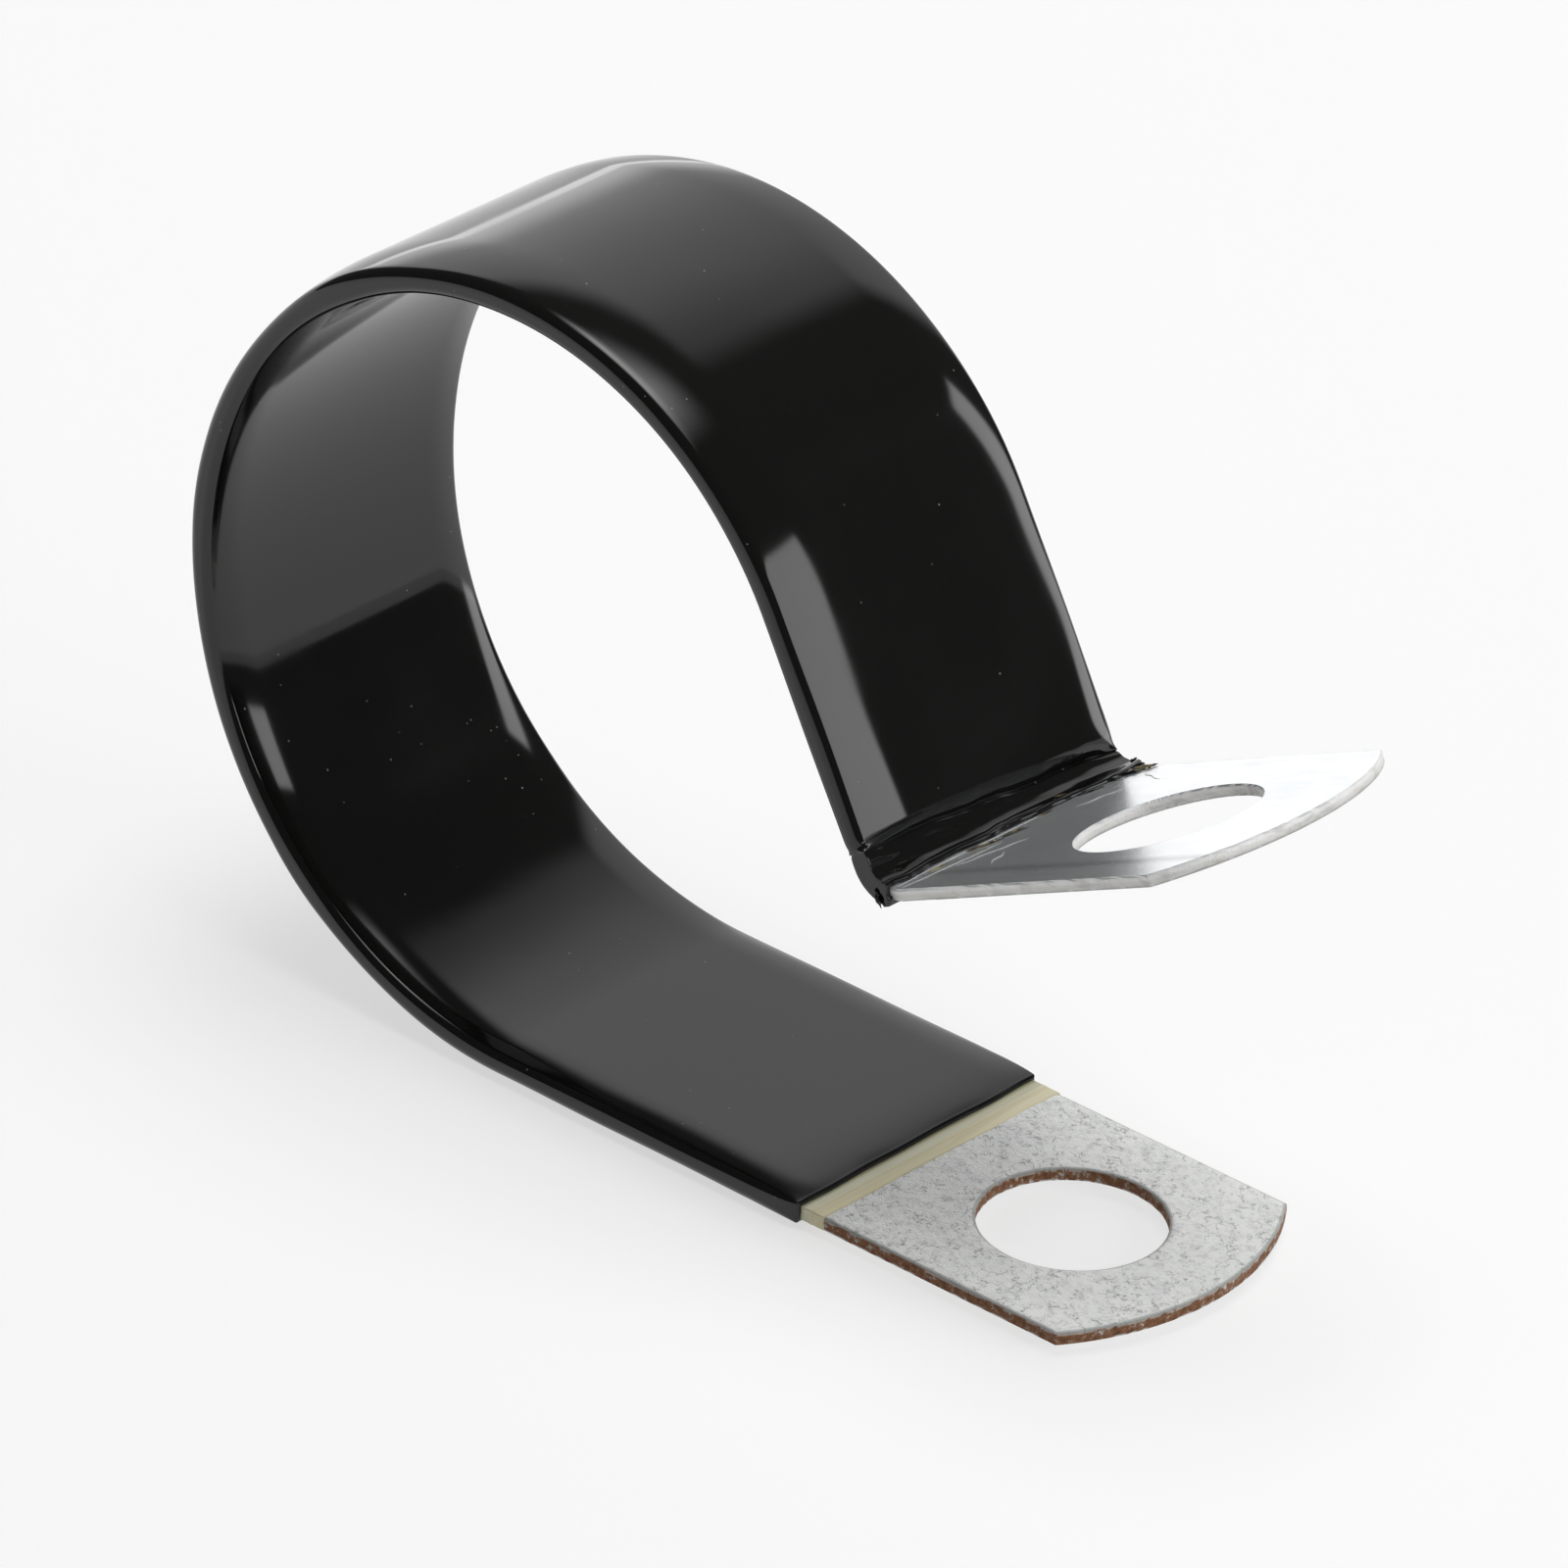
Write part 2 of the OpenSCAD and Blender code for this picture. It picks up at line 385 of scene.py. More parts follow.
def zinc_steel():
    """Zinc-coated sheet. The lower ear is dull and mottled with dark pits, and the upper ear is
    smooth and satin. Cut walls are bare steel: rusted brown below, bright above."""
    material, tree, shader = new_material("zinc_steel")
    spot = add_node(tree, "ShaderNodeTexCoord").outputs["Object"]
    cut, rim, place, depth = [
        add_node(tree, "ShaderNodeAttribute", attribute_name=name).outputs["Fac"]
        for name in ("cut", "rim", "place", "depth")]
    upper = maths(tree, "GREATER_THAN", place, float(STRIP_END / 2))
    # the dull face: soft clouds, crinkles and short dark pits
    clouds = noise(tree, spot, CLOUDS, 5, 0.62)
    grain = noise(tree, spot, GRAINS, 3, 0.65)
    pit = noise(tree, spot, PITS, 5, 0.8)
    crinkle = noise(tree, spot, CRINKLES, 6, 0.85)
    dull = ramp(tree, clouds, [
        (0.30, (0.88, 0.89, 0.88)), (0.5, (0.94, 0.95, 0.93)), (0.7, (0.98, 0.98, 0.97))])
    light = ramp(tree, crinkle, [(0.38, 0.80), (0.47, 0.96), (0.55, 1.0)])
    dark = ramp(tree, pit, [(0.34, (0.40, 0.41, 0.41)), (0.41, 0.84), (0.46, 1)])
    # fine curved scratches lie where one noise crosses its middle value, with gaps from another
    course = noise(tree, spot, SCRATCHES, 2, 0.6)
    course = maths(tree, "ABSOLUTE", maths(tree, "SUBTRACT", course, 0.5))
    scratch = ramp(tree, course, [(0.0, 0.50), (0.022, 1.0)], smooth=False)
    broken = ramp(tree, noise(tree, spot, SCRATCH_GAPS, 2), [(0.46, 0.0), (0.56, 1.0)])
    lower_face = times(tree, times(tree, dull, light), dark, 0.85)
    lower_face = times(tree, lower_face, scratch, broken)
    # the satin face: wide soft clouds, brush lines along the ear, and a dark streak that is a painted
    # reflection
    satin = ramp(tree, noise(tree, spot, SATIN_CLOUDS, 3, 0.5), [
        (0.3, (0.86, 0.89, 0.91)), (0.7, (0.92, 0.94, 0.95))])
    brush = noise(tree, spot, BRUSH_LINES, 2, 0.6, stretch=(0.08, 1.0, 1.0))
    brushed = ramp(tree, brush, [(0.3, 0.93), (0.7, 1.0)])
    across = add_node(tree, "ShaderNodeSeparateXYZ", {"Vector": spot}).outputs["Y"]
    off_painted_streak = maths(tree, "ABSOLUTE", maths(tree, "ADD", across, PAINTED_STREAK_FROM_MIDDLE))
    line = ramp(tree, maths(tree, "MULTIPLY", off_painted_streak, 1 / MM), [(0.0, 0.72), (0.35, 0.86), (0.75, 1.0)])
    face = mixed(tree, upper, lower_face, times(tree, times(tree, satin, brushed), line))
    worn = ramp(tree, rim, [(0.42, 0.0), (0.70, 0.55), (1.0, 0.85)])
    face = mixed(tree, worn, face, WORN_RIM)
    # the cut walls: rust with pale flecks below, and the marks of shearing above
    flecks = noise(tree, spot, RUST_FLECKS, 4, 0.7)
    rust = ramp(tree, flecks, [
        (0.30, (0.110, 0.045, 0.020)), (0.45, (0.250, 0.105, 0.045)), (0.56, (0.330, 0.165, 0.085)),
        (0.62, (0.48, 0.42, 0.37)), (0.68, (0.85, 0.84, 0.82))])
    shear = ramp(tree, noise(tree, spot, SHEAR_LINES, 3, 0.6, stretch=(0.35, 0.35, 1.0)), [
        (0.30, (0.74, 0.74, 0.73)), (0.50, (0.94, 0.94, 0.93)), (0.70, 1)])
    zone = ramp(tree, depth, [
        (0.02, (0.55, 0.54, 0.52)), (0.14, (0.80, 0.79, 0.77)), (0.45, (0.88, 0.87, 0.85)),
        (0.60, 1), (0.93, 1), (0.99, 0.8)])
    wall = mixed(tree, upper, rust, times(tree, shear, zone))
    colour = mixed(tree, cut, face, wall)
    tree.links.new(colour, shader.inputs["Base Color"])
    metal_face = mixed(tree, upper, grey(DULL_METAL), grey(SATIN_METAL))
    metal_cut = mixed(tree, upper, grey(RUST_METAL), grey(SHEAR_METAL))
    metallic = mixed(tree, cut, metal_face, metal_cut)
    tree.links.new(metallic, shader.inputs["Metallic"])
    rough_face = mixed(tree, upper, grey(DULL_ROUGH), grey(SATIN_ROUGH))
    rough_cut = mixed(tree, upper, grey(RUST_ROUGH), grey(SHEAR_ROUGH))
    rough = mixed(tree, cut, rough_face, rough_cut)
    tree.links.new(rough, shader.inputs["Roughness"])
    # relief is full on the lower ear, half on the upper ear's walls and slight on its faces
    lower = maths(tree, "SUBTRACT", 1.0, upper)
    rugged = maths(tree, "MAXIMUM", lower, maths(tree, "MULTIPLY", cut, 0.5))
    relief = maths(tree, "ADD", maths(tree, "ADD", pit, crinkle), maths(tree, "MULTIPLY", grain, 0.5))
    relief = maths(tree, "ADD", relief, maths(tree, "MULTIPLY", scratch, 0.5))
    height = maths(tree, "MULTIPLY", relief, maths(tree, "MAXIMUM", rugged, 0.06))
    bump = add_node(tree, "ShaderNodeBump", {"Strength": 0.85, "Distance": 0.00009, "Height": height})
    tree.links.new(bump.outputs[0], shader.inputs["Normal"])
    return material


grids, marks = [], {"cut": [], "rim": [], "place": [], "depth": []}
for part_grids, part_marks in (ear(True), strip_between(), ear(False)):
    grids += part_grids
    for mark in marks:
        marks[mark] += part_marks[mark]
strap = make_piece("steel_strap_blank", grids, zinc_steel(), marks)
strap.data.set_sharp_from_angle(angle=np.radians(40))
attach(strap, "root")
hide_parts("steel_strap")

# ---------------------------------------------------------------------------------------------
# The vinyl coat: the strip was dipped in hot liquid vinyl from the lower ear's root to past the
# fold, so the coat is thick on the faces, thinner on the cut edges and crowned towards them. At
# the fold it was trimmed with a knife, which left a thin skin with a ragged end.
# ---------------------------------------------------------------------------------------------
COAT_EDGE = 0.5 * MM
COAT_START = EAR_LOWER
SKIN_T, SKIN_EDGE_T = 0.25 * MM, 0.32 * MM
# Full thickness ends at the ridge, the crease is where the thin skin starts, and the skin ends at
# the cut. Crease and cut run askew: their shift along the strip is given at places across it
RIDGE = RUN_START[4] - 1.9 * MM
CREASE, CREASE_T = RUN_START[4] - 0.3 * MM, 0.10 * MM
CUT_LINE = RUN_START[4] + 2.35 * MM
ASKEW_AT = np.array([-10.5, -8.4, -4.6, 0.2, 4.0, 6.0, 8.5, 10.5]) * MM
CREASE_SHIFT = np.array([-0.6, -0.55, -0.4, 0.0, 0.4, 0.5, 0.7, 1.1]) * MM
CUT_SHIFT = np.array([-0.2, 0.0, -0.1, 0.3, 0.55, 0.95, 1.25, 0.9]) * MM
# Each face's crown towards the front (-Y) and the back edge: level as far as this from the middle,
# then falling by this at the edge, and the round corner's radius
CROWN_OUT = ((6.1 * MM, 0.36 * MM, 0.75 * MM), (7.4 * MM, 0.26 * MM, 0.50 * MM))
CROWN_IN = ((8.1 * MM, 0.24 * MM, 0.60 * MM), (7.8 * MM, 0.24 * MM, 0.50 * MM))
# The skin's round corner, the rounded lip's reach and thickness, and how fast the coat thickens
SKIN_ROUND = 0.05 * MM
LIP, LIP_T, LIP_GROWTH = 0.22 * MM, 0.25 * MM, 1.1 * MM
FACE_POINTS, CORNER_POINTS = 57, 10


def coat_half(half_w, half_t, full, crown):
    """Half of one face, middle to edge: level, then a parabola that falls, then a round corner
    into the side. Also the height where the side starts. `full` is 0 for skin and 1 for full coat."""
    start, drop, radius = crown
    drop = drop * full
    radius = SKIN_ROUND + (radius - SKIN_ROUND) * np.clip(full * 1.15, 0, 1)
    face_end = half_w - radius
    start = np.minimum(start, face_end * 0.8)
    tilt = np.arctan(2 * drop / (face_end - start))
    y_join = face_end + radius * np.sin(tilt)
    y_face = graded(FACE_POINTS, 0.35)[FACE_POINTS // 2 + 1:] * y_join
    past = np.clip((y_face - start) / (y_join - start), 0, 1)
    z_face = half_t - drop * past ** 2
    angle = tilt + (np.pi / 2 - tilt) * np.linspace(0, 1, CORNER_POINTS)[1:]
    side_z = half_t - drop - radius * np.cos(tilt)
    y = np.concatenate([y_face, face_end + radius * np.sin(angle)], 1)
    z = np.concatenate([z_face, side_z + radius * np.cos(angle)], 1)
    return y, z, side_z


def coat_ring(half_w, half_t, full):
    """Cross-sections of the coat, one row for each set of sizes: four halves of faces, and the two
    flat sides between them."""
    half_w, half_t, full = [np.reshape(v, (-1, 1)) for v in (half_w, half_t, full)]
    out_front, out_back = [coat_half(half_w, half_t, full, crown) for crown in CROWN_OUT]
    in_front, in_back = [coat_half(half_w, half_t, full, crown) for crown in CROWN_IN]
    down = np.linspace(0, 1, 7)[None, 1:-1]
    z_back = out_back[2] + (-in_back[2] - out_back[2]) * down
    z_front = -in_front[2] + (out_front[2] + in_front[2]) * down
    middle = 0 * half_t
    y = np.concatenate([
        -out_front[0][:, ::-1], middle, out_back[0], half_w + 0 * z_back,
        in_back[0][:, ::-1], middle, -in_front[0], -half_w + 0 * z_front], 1)
    z = np.concatenate([
        out_front[1][:, ::-1], half_t, out_back[1], z_back,
        -in_back[1][:, ::-1], -half_t, -in_front[1], z_front], 1)
    return y, z


def coat_rows():
    """Rows of the coat's outer skin, as length along the strip, face and edge thickness. Past the
    ridge the thickness falls to the crease as a quarter ellipse, and rises again into the skin."""
    fall = np.linspace(0, np.pi / 2, 22)[1:]
    past = np.linspace(0, 1, 30)[1:]
    s = np.concatenate([
        COAT_START + np.linspace(0, 4 * MM, 34)[1:],
        np.linspace(COAT_START + 4 * MM, RIDGE, 330)[1:],
        RIDGE + (CREASE - RIDGE) * np.sin(fall),
        CREASE + (CUT_LINE - CREASE) * past,
    ])
    thin = np.exp(-(s - COAT_START) / LIP_GROWTH)
    share = np.clip((s - RIDGE) / (CREASE - RIDGE), 0, 1)
    ellipse = np.sqrt(1 - share ** 3)
    after = 1 - np.exp(-np.clip(s - CREASE, 0, None) / (0.12 * MM))
    rows = []
    for thick, crease, skin in ((COAT_T, CREASE_T, SKIN_T), (COAT_EDGE, SKIN_EDGE_T, SKIN_EDGE_T)):
        full = thick - (thick - LIP_T) * thin
        rows.append(crease + (full - crease) * ellipse + (skin - crease) * after)
    return s, rows[0], rows[1]


def raised_line(away, height, width):
    """A low rounded line: height * exp(-(away / width)^2)."""
    return height * np.exp(-(away / width) ** 2)


def coat_grid():
    """The coat as a closed tube round the strip: its outer skin from lip to cut line, and back
    along the steel, which hides the inner rows."""
    s, face, edge = coat_rows()
    quarter = np.linspace(0, np.pi / 2, 9)[:-1]
    lip_s = s[0] - LIP * np.cos(quarter)
    end_s = s[-1] + 0.08 * MM * np.sin(quarter[1:])
    back_s = np.linspace(end_s[-1], lip_s[0], 70)
    rows = [np.concatenate([lip_s, s, end_s, back_s])]
    for thick in (face, edge):
        rows.append(np.concatenate([
            thick[0] * np.sin(quarter), thick, thick[-1] * np.cos(quarter[1:]),
            0 * back_s - 0.03 * MM]))
    s_all, face_all, edge_all = rows
    full = np.clip((face_all - SKIN_T) / (COAT_T - SKIN_T), 0, 1)
    crown = full * (1 + 0.15 * ripple(s_all, 0 * s_all, 9 * MM, 31))
    y, z = coat_ring(STRIP_W / 2 + edge_all, STRIP_T / 2 + face_all, crown)
    s_grid = s_all[:, None] + 0 * y
    outer = np.arange(len(s_all))[:, None] < len(s_all) - len(back_s)
    side = np.sign(z)
    # slow waves in the thickness, lumps in the skin, a welt along its cut, and a rib beside that
    wave = ripple(s_grid, y + 3 * side * MM, 14 * MM, 32) * 0.008 * MM * full[:, None]
    skin = np.clip((s_grid - CREASE) / (0.4 * MM), 0, 1)
    lumps = ripple(s_grid, 0.2 * y + 5 * side * MM, 0.5 * MM, 36) * 0.008 * MM * skin
    past_cut = s_grid - CUT_LINE
    welt = raised_line(past_cut + 0.16 * MM, 0.09 * MM, 0.09 * MM)
    rib = raised_line(past_cut + 0.62 * MM + 0.03 * (y - 4 * MM), 0.05 * MM, 0.06 * MM)
    rib = rib * np.clip((6 * MM - y) / (4 * MM), 0, 1)
    # a low wrinkle on the ridge, in the middle third
    fold = raised_line(s_grid - RIDGE + 0.15 * MM, 0.05 * MM, 0.10 * MM)
    fold = fold * np.clip(1 - np.abs(y + 0.8 * MM) / (2.4 * MM), 0, 1) ** 0.5
    z = z + np.where(outer, (wave + lumps + welt + rib + fold) * side, 0)
    # the knife's ragged lines: the crease and the cut slide along the strip
    nicks = ripple(y, side * 9 * MM, 1.1 * MM, 33) * 0.06
    swings = ripple(y, side * 9 * MM, 4.5 * MM, 34) * 0.10
    ragged = (nicks + swings) * MM
    to_crease = np.clip((s_grid - RIDGE) / (CREASE - RIDGE), 0, 1)
    to_cut = np.clip((s_grid - CREASE) / (CUT_LINE - CREASE), 0, 1)
    crease_shift = np.interp(y, ASKEW_AT, CREASE_SHIFT) + 0.5 * ragged
    cut_shift = np.interp(y, ASKEW_AT, CUT_SHIFT) + ragged
    slide = to_crease * crease_shift * (1 - to_cut) + to_cut * cut_shift
    at_lip = np.clip(1 - (s_grid - lip_s[0]) / (2 * MM), 0, 1)
    slide = slide + ripple(y, side * 5 * MM, 5 * MM, 35) * 0.05 * MM * at_lip
    grid = on_strip(s_grid + slide, y, z)
    # the lower leg's waves are pressed flat where they meet the floor
    grid[..., 2] = np.maximum(grid[..., 2], 0)
    return grid


# Vinyl and dust, the size of the dust's cells (how many a metre), the share of cells without a
# speck, and how a speck's reach grows past that share
VINYL, DUST = (0.0062, 0.0060, 0.0056), (0.22, 0.21, 0.20)
DUST_CELLS, DUST_FREE, DUST_REACH = 1400, 0.82, 0.55
SMEARS, SWELLS = 90, 110
DUST_ROUGH = 0.5


def black_vinyl():
    """Glossy black vinyl with faint swells, smears of wear and specks of pale dust."""
    material, tree, shader = new_material("black_vinyl")
    spot = add_node(tree, "ShaderNodeTexCoord").outputs["Object"]
    cells = add_node(tree, "ShaderNodeTexVoronoi", {
        "Vector": spot, "Scale": DUST_CELLS, "Randomness": 1.0})
    chance = add_node(tree, "ShaderNodeSeparateColor", {"Color": cells.outputs["Color"]})
    chance = chance.outputs["Red"]
    reach = maths(tree, "MULTIPLY", maths(tree, "SUBTRACT", chance, DUST_FREE), DUST_REACH)
    dust = maths(tree, "LESS_THAN", cells.outputs["Distance"], reach)
    colour = mixed(tree, dust, VINYL, DUST)
    tree.links.new(colour, shader.inputs["Base Color"])
    smear = ramp(tree, noise(tree, spot, SMEARS, 3, 0.55), [(0.35, 0.06), (0.75, 0.12)])
    rough = mixed(tree, dust, smear, grey(DUST_ROUGH))
    tree.links.new(rough, shader.inputs["Roughness"])
    shader.inputs["IOR"].default_value = 1.5
    swell = noise(tree, spot, SWELLS, 1, 0.5)
    bump = add_node(tree, "ShaderNodeBump", {"Strength": 0.12, "Distance": 0.0001, "Height": swell})
    tree.links.new(bump.outputs[0], shader.inputs["Normal"])
    return material


coat = make_piece("vinyl_coat", [(coat_grid(), True, True)], black_vinyl())
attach(coat, "root")
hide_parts("vinyl_coating")

# ---------------------------------------------------------------------------------------------
# Torn vinyl at the cut: a drip hangs from the front corner, shreds stick out at the back corner
# and fine slivers lie along the line. They are the coat's own vinyl, left by the knife.
# ---------------------------------------------------------------------------------------------
# Each shred runs from one (s, y, out) to another, with its thickest radius, all in millimetres
SHREDS = [
    ((158.9, -10.38, 0.10), (159.60, -10.50, -0.80), 0.12),
    ((160.4, 9.0, 0.45), (161.6, 9.9, 0.60), 0.17),
    ((160.9, 8.0, 0.45), (162.1, 9.0, 0.50), 0.13),
    ((159.7, 10.1, 0.40), (160.6, 10.4, 0.80), 0.14),
    ((160.2, 6.6, 0.50), (161.7, 7.9, 0.50), 0.11),
    ((160.7, 5.0, 0.45), (161.5, 6.5, 0.46), 0.09),
    ((160.6, -3.4, 0.42), (161.3, -1.9, 0.44), 0.09),
    ((161.0, -1.8, 0.42), (161.7, -0.2, 0.44), 0.08),
]


def spindle(start, end, radius, seed, around=12, along=22):
    """A sliver from start to end, each (s, y, out): its radius is a sine over the length, roughened
    by a ripple, and both ends close in a point."""
    t = np.linspace(0, 1, along)[:, None]
    angle = np.linspace(0, 2 * np.pi, around + 1)[None, :-1]
    centre = np.array(start) * MM + t[..., None] * (np.array(end) - np.array(start)) * MM
    axis = np.array(end) - np.array(start)
    axis = axis / np.linalg.norm(axis)
    side = np.cross(axis, [0.3, 0.2, 1.0])
    side /= np.linalg.norm(side)
    other = np.cross(axis, side)
    rough = 1 + 0.35 * ripple(t * 4, np.cos(angle) * 0.8, 0.9, seed) + 0 * angle
    reach = radius * MM * np.sin(np.pi * t) ** 0.7 * np.clip(rough, 0.4, 1.6)
    place = centre + (reach * np.cos(angle))[..., None] * side
    place = place + (reach * np.sin(angle))[..., None] * other
    return on_strip(place[..., 0], place[..., 1], place[..., 2])


shreds = make_piece(
    "torn_vinyl", [(spindle(*shred, 60 + i), False, True) for i, shred in enumerate(SHREDS)],
    coat.data.materials[0])
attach(shreds, "root")

# ---------------------------------------------------------------------------------------------
# The primer: a clear amber film that bonds the vinyl to the zinc. It was brushed on by hand and
# runs out from under the coat's lower edge as a band across the ear and its cut edges.
# ---------------------------------------------------------------------------------------------
PRIMER_W, PRIMER_T = 2.0 * MM, 0.03 * MM
# How far it reaches under the coat, and how much its edge runs askew for each length across
PRIMER_TUCK, PRIMER_SLANT = 0.4 * MM, 0.012
# Crumbs of primer stand along the cut above, and a tab of it sticks out at the back corner: each
# runs from one (s, y, out) to another, with its thickest radius, all in millimetres
CRUMBS = [
    ((160.2, -4.1, 0.46), (161.0, -2.6, 0.48), 0.08), ((160.7, -2.9, 0.42), (161.2, -2.2, 0.46), 0.09),
    ((160.7, -1.6, 0.42), (161.3, -0.2, 0.44), 0.07), ((159.6, 3.9, 0.66), (160.1, 4.8, 0.68), 0.05),
    ((161.2, 8.9, 0.46), (162.4, 9.6, 0.58), 0.11), ((161.6, 9.2, 0.46), (162.6, 9.9, 0.50), 0.08),
    ((160.2, -7.4, 0.40), (160.6, -5.6, 0.44), 0.05), ((160.6, 1.6, 0.44), (160.9, 2.7, 0.48), 0.05),
]
# Dried threads of primer on the upper ear: each is a line of (s, y) points in millimetres. The last
# two lie along the coat's cut line, where their pale colour is also a painted highlight of its cut edge
THREADS = [
    [(161.5, -6.4), (162.1, -5.6), (162.2, -4.7), (162.8, -3.7), (163.0, -2.8), (163.5, -2.1)],
    [(164.4, -6.4), (163.9, -5.7), (164.0, -5.0), (163.5, -4.3)],
    [(162.2, 3.1), (162.7, 3.8), (162.8, 4.7), (163.3, 5.4), (163.4, 6.0)],
    [(162.6, 8.8), (163.1, 8.2), (163.8, 8.0), (164.4, 7.5), (165.1, 7.3)],
    [(160.5, -9.9), (160.9, -8.4), (161.1, -6.7), (161.5, -4.4), (161.7, -2.3)],
    [(160.1, -9.9), (160.0, -7.6), (160.1, -4.2), (160.4, -0.6), (160.6, 2.6)],
]


def primer_grid():
    """A closed sleeve round the strip, from under the coat to a slightly wavy edge. One end is
    tucked under the coat, and the other thins out on to the steel."""
    share = np.concatenate([[0, 0], np.linspace(0, 1, 40), [1]])[:, None]
    lift = np.concatenate([[-0.6], np.ones(39), [0.4, -0.6, -0.6]])[:, None] * PRIMER_T
    y, z = coat_ring(STRIP_W / 2 + lift, STRIP_T / 2 + lift, 0 * lift)
    wavy = ripple(y, np.sign(z) * 7 * MM, 2.5 * MM, 41) * 0.06 * MM
    slant = PRIMER_SLANT * y
    tip = COAT_START - PRIMER_W + wavy - slant
    root = COAT_START + PRIMER_TUCK
    s = root + (tip - root) * share
    # a low bead just past half way out, where one stroke of the brush ended
    bead = raised_line(share - 0.55, 0.035 * MM, 0.05)
    return on_strip(s, y, z + np.sign(z) * bead), share + 0 * y


def thread_grid(line, radius=0.035 * MM, around=8):
    """A round thread along a smooth curve through the line's points, lying on the upper ear."""
    line = np.array(line) * MM
    t = np.linspace(0, len(line) - 1, 14 * len(line))
    knot = np.arange(len(line))
    centre = np.stack([np.interp(t, knot, line[:, 0]), np.interp(t, knot, line[:, 1])], -1)
    blur = np.hanning(17) / np.hanning(17).sum()
    padded = np.pad(centre, ((8, 8), (0, 0)), mode="edge")
    centre = np.stack([np.convolve(padded[:, k], blur, "valid") for k in (0, 1)], -1)
    way = np.gradient(centre, axis=0)
    way /= np.linalg.norm(way, axis=1, keepdims=True) + 1e-12
    angle = np.linspace(0, 2 * np.pi, around + 1)[None, :-1]
    size = radius * np.sin(np.pi * np.linspace(0, 1, len(t)))[:, None] ** 0.4
    s = centre[:, :1] - way[:, 1:] * size * np.cos(angle)
    y = centre[:, 1:] + way[:, :1] * size * np.cos(angle)
    return on_strip(s, y, STRIP_T / 2 + 0.6 * size * (1 + np.sin(angle)) - 0.2 * radius)


# Features a metre of the brush's streaks and of the mottle in the crumbs, how much of the zinc's
# metal shows through the film, and the pale colour of a dried thread, which along the cut line is
# also a painted highlight
STREAKS, LUMPS = 900, 1500
FILM_METAL = 0.3
PALE_THREAD_AND_HIGHLIGHT = (0.62, 0.63, 0.62)


def amber_primer():
    """Clear amber film over dull zinc. Streaks run along the brush's way, across the strip, with
    a pale line half way out, and the film is darker towards its edge and in the crumbs. Where it
    meets the coat's lip, a painted shadow darkens it."""
    material, tree, shader = new_material("amber_primer")
    spot = add_node(tree, "ShaderNodeTexCoord").outputs["Object"]
    share = add_node(tree, "ShaderNodeAttribute", attribute_name="share").outputs["Fac"]
    streak = noise(tree, spot, STREAKS, 3, 0.5, stretch=(1.0, 0.06, 1.0))
    film = ramp(tree, streak, [
        (0.32, (0.61, 0.575, 0.41)), (0.5, (0.72, 0.685, 0.51)), (0.68, (0.84, 0.81, 0.66))])
    # across the band: a painted shadow by the coat's lip, then pale film, a pale line half way out, and
    # tan film
    tint_and_painted_shadow = ramp(tree, share, [
        (0.20, (0.55, 0.55, 0.42)), (0.34, (0.86, 0.88, 0.86)), (0.52, (0.92, 0.93, 0.90)),
        (0.55, (1.0, 1.0, 1.0)), (0.59, (0.93, 0.89, 0.78)), (1.0, (0.95, 0.91, 0.77))], smooth=False)
    film = times(tree, film, tint_and_painted_shadow)
    # share is -1 on every crumb and -2 on every thread
    crumb = maths(tree, "LESS_THAN", share, -0.5)
    thread = maths(tree, "LESS_THAN", share, -1.5)
    lump = ramp(tree, noise(tree, spot, LUMPS, 2), [
        (0.38, (0.05, 0.03, 0.012)), (0.66, (0.30, 0.24, 0.12))])
    colour = mixed(tree, crumb, film, mixed(tree, thread, lump, PALE_THREAD_AND_HIGHLIGHT))
    tree.links.new(colour, shader.inputs["Base Color"])
    tree.links.new(mixed(tree, crumb, grey(FILM_METAL), grey(0)), shader.inputs["Metallic"])
    shader.inputs["Roughness"].default_value = 0.34
    bump = add_node(tree, "ShaderNodeBump", {"Strength": 0.2, "Distance": 0.00004, "Height": streak})
    tree.links.new(bump.outputs[0], shader.inputs["Normal"])
    return material


primer_points, primer_share = primer_grid()
primer = make_piece("primer_film", [(primer_points, True, True)], amber_primer(),
                    {"share": [primer_share]})
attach(primer, "root")
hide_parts("primer_band")

crumb_grids = [spindle(*crumb, 80 + i) for i, crumb in enumerate(CRUMBS)]
thread_grids = [thread_grid(line) for line in THREADS]
shares = [0 * g[..., 0] - 1 for g in crumb_grids] + [0 * g[..., 0] - 2 for g in thread_grids]
crumbs = make_piece(
    "primer_crumbs", [(g, False, True) for g in crumb_grids + thread_grids],
    primer.data.materials[0], {"share": shares})
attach(crumbs, "root")

# ---------------------------------------------------------------------------------------------
# The floor: a pale paper disc, flat under the clip and turned up into a low wall all round its far
# rim, so that it fills the view and ends without a hard line.
# ---------------------------------------------------------------------------------------------
FLOOR_R, WALL_R, WALL_H = 1.8, 1.86, 0.08
# The paper's level where it lights the clip, and its level and glow where it is seen
PAPER_LIT, PAPER_SEEN, PAPER_GLOW = 0.84, 0.42, 0.62


def sweep_grid():
    """Rings of a disc whose rim curves up: radius and height as functions of one parameter."""
    flat = np.linspace(0.001, FLOOR_R, 24)
    turn = np.linspace(0, np.pi / 2, 12)[1:]
    radius = np.concatenate([flat, FLOOR_R + (WALL_R - FLOOR_R) * np.sin(turn), [WALL_R]])
    height = np.concatenate([0 * flat, (WALL_R - FLOOR_R) * (1 - np.cos(turn)), [WALL_H]])
    angle = np.linspace(0, 2 * np.pi, 97)[:-1]
    return np.stack([radius[:, None] * np.cos(angle), radius[:, None] * np.sin(angle),
                     height[:, None] + 0 * angle], -1)


paper, tree, shader = new_material("pale_paper")
rays = add_node(tree, "ShaderNodeLightPath").outputs
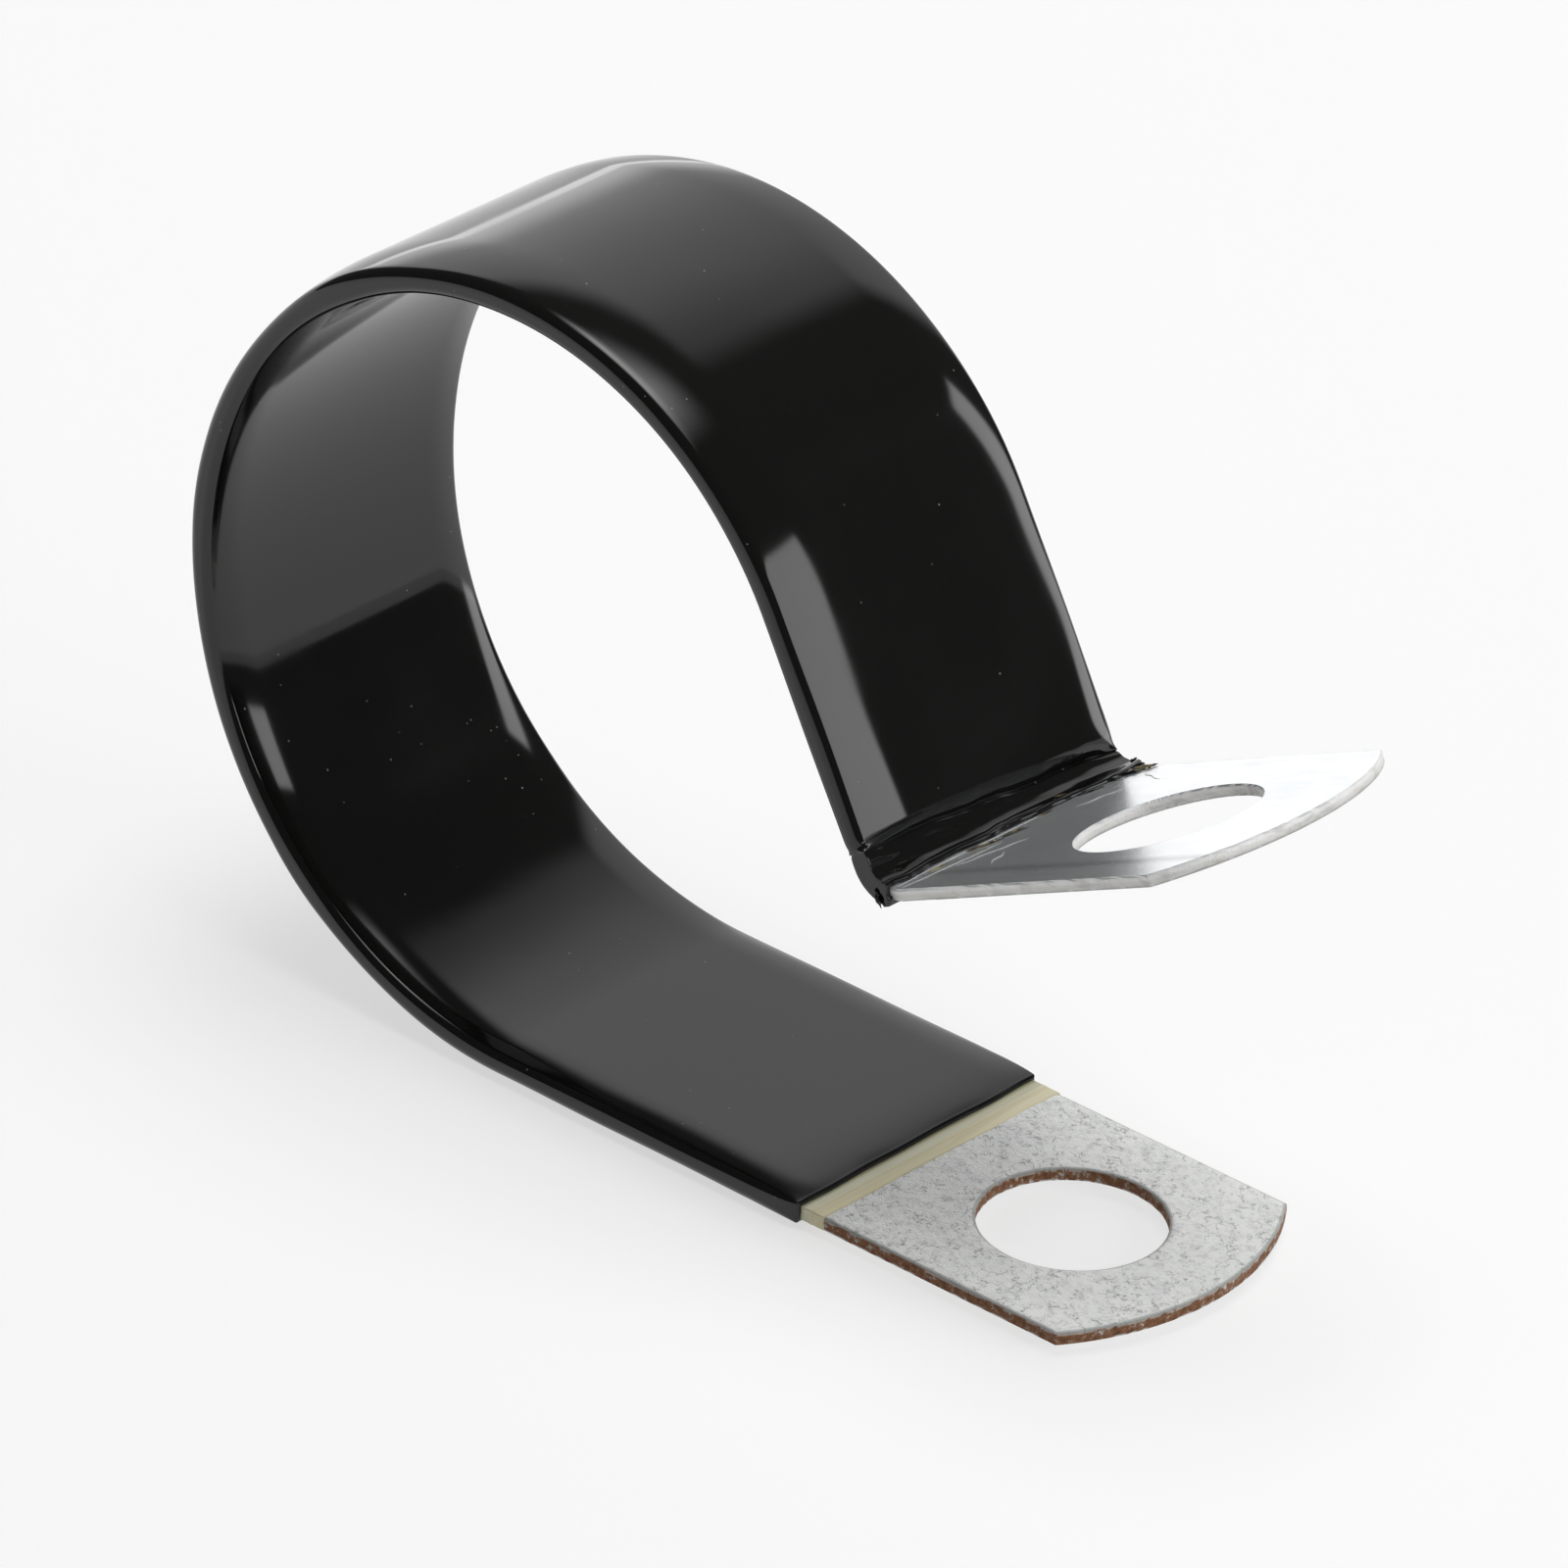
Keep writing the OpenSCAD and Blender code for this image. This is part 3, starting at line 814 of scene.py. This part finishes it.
# the camera and mirrored rays see the paper near white round the shadow, and the light that it
# throws on the clip stays plain
seen = maths(tree, "MAXIMUM", rays["Is Camera Ray"], rays["Is Glossy Ray"])
paper_level = mixed(tree, seen, grey(PAPER_LIT), grey(PAPER_SEEN))
tree.links.new(paper_level, shader.inputs["Base Color"])
shader.inputs["Emission Color"].default_value = (1, 1, 1, 1)
tree.links.new(maths(tree, "MULTIPLY", seen, PAPER_GLOW), shader.inputs["Emission Strength"])
shader.inputs["Roughness"].default_value = 0.9
shader.inputs["Specular IOR Level"].default_value = 0.0
floor = make_piece("floor", [(sweep_grid(), False, True)], paper)

# ---------------------------------------------------------------------------------------------
# Light: a large softbox overhead, a wide panel behind with a soft glow low on its left, a wide
# softbox on the right, and a narrow strip light between. The room's dark gaps show in the coat.
# ---------------------------------------------------------------------------------------------
# The height that the lamps are placed round
LAMP_CENTRE = 20 * MM
ROOM_GREY = (0.08, 0.08, 0.08, 1)


def softbox(name, azimuth, elevation, distance, size, radiance, roll=0.0, fade=(0.02, 0.02)):
    """A rectangular lamp that faces the clip from an azimuth (from +X towards +Y) and elevation,
    turned by `roll` degrees in its own plane. Its cloth fades out towards its edges, over the
    given shares of its width and height."""
    lamp = bpy.data.lights.new(name, "AREA")
    lamp.shape = "RECTANGLE"
    lamp.size, lamp.size_y = size
    lamp.energy = radiance * np.pi * size[0] * size[1]
    lamp.use_nodes = True
    tree = lamp.node_tree
    cloth = add_node(tree, "ShaderNodeNewGeometry").outputs["Parametric"]
    sides = add_node(tree, "ShaderNodeSeparateXYZ", {"Vector": cloth})
    glow = 1.0
    for axis, share in zip("XY", fade):
        off_middle = maths(tree, "ABSOLUTE", maths(tree, "SUBTRACT", sides.outputs[axis], 0.5))
        gap = maths(tree, "SUBTRACT", 0.5, off_middle)
        edge = add_node(tree, "ShaderNodeMapRange", {"Value": gap, "From Max": share},
                        interpolation_type="SMOOTHSTEP")
        glow = maths(tree, "MULTIPLY", edge.outputs["Result"], glow)
    tree.links.new(glow, tree.nodes["Emission"].inputs["Strength"])
    lit = bpy.data.objects.new(name, lamp)
    bpy.context.collection.objects.link(lit)
    a, e = np.radians([azimuth, elevation])
    way = Vector((np.cos(e) * np.cos(a), np.cos(e) * np.sin(a), np.sin(e)))
    lit.location = way * distance + Vector((0, 0, LAMP_CENTRE))
    facing = way.to_track_quat("Z", "Y") @ Quaternion((0, 0, 1), np.radians(roll))
    lit.rotation_euler = facing.to_euler()
    lit.visible_camera = False


softbox("overhead_softbox", 100, 84, 1.0, (0.95, 0.95), 5.4, fade=(0.39, 0.39))
softbox("back_panel", 121, 18, 1.0, (1.50, 1.20), 0.88, roll=-21, fade=(0.15, 0.18))
softbox("back_glow", 134, 2, 1.05, (1.10, 0.50), 0.60, fade=(0.3, 0.4))
softbox("right_softbox", 14, 23, 1.0, (0.88, 0.40), 3.1, fade=(0.04, 0.08))
softbox("strip_light", 62, 16.5, 1.0, (0.19, 0.66), 3.2, fade=(0.2, 0.08))

world = bpy.data.worlds.new("studio")
bpy.context.scene.world = world
world.use_nodes = True
world.node_tree.nodes["Background"].inputs["Color"].default_value = ROOM_GREY

# ---------------------------------------------------------------------------------------------
# Camera: a long lens that looks down on the clip from in front and to the right, aimed low inside
# the loop and turned a little about its own axis.
# ---------------------------------------------------------------------------------------------
AIM = Vector((-9.54, 10.63, 12.60)) * MM
AZIMUTH, ELEVATION, ROLL = np.radians([49.33, 29.10, 2.50])
DISTANCE, LENS = 0.710, 281

camera = bpy.data.objects.new("camera", bpy.data.cameras.new("camera"))
bpy.context.collection.objects.link(camera)
camera.data.lens = LENS
camera.data.sensor_width = 36
camera.data.clip_start, camera.data.clip_end = 0.01, 20
level = np.cos(ELEVATION)
back = Vector((level * np.cos(AZIMUTH), -level * np.sin(AZIMUTH), np.sin(ELEVATION)))
right = Vector((np.sin(AZIMUTH), np.cos(AZIMUTH), 0))
up = back.cross(right)
right, up = right * np.cos(ROLL) + up * np.sin(ROLL), up * np.cos(ROLL) - right * np.sin(ROLL)
turned = Matrix((right, up, back)).transposed().to_4x4()
camera.matrix_world = Matrix.Translation(AIM + back * DISTANCE) @ turned
bpy.context.scene.camera = camera
bpy.context.scene.view_settings.view_transform = "Standard"
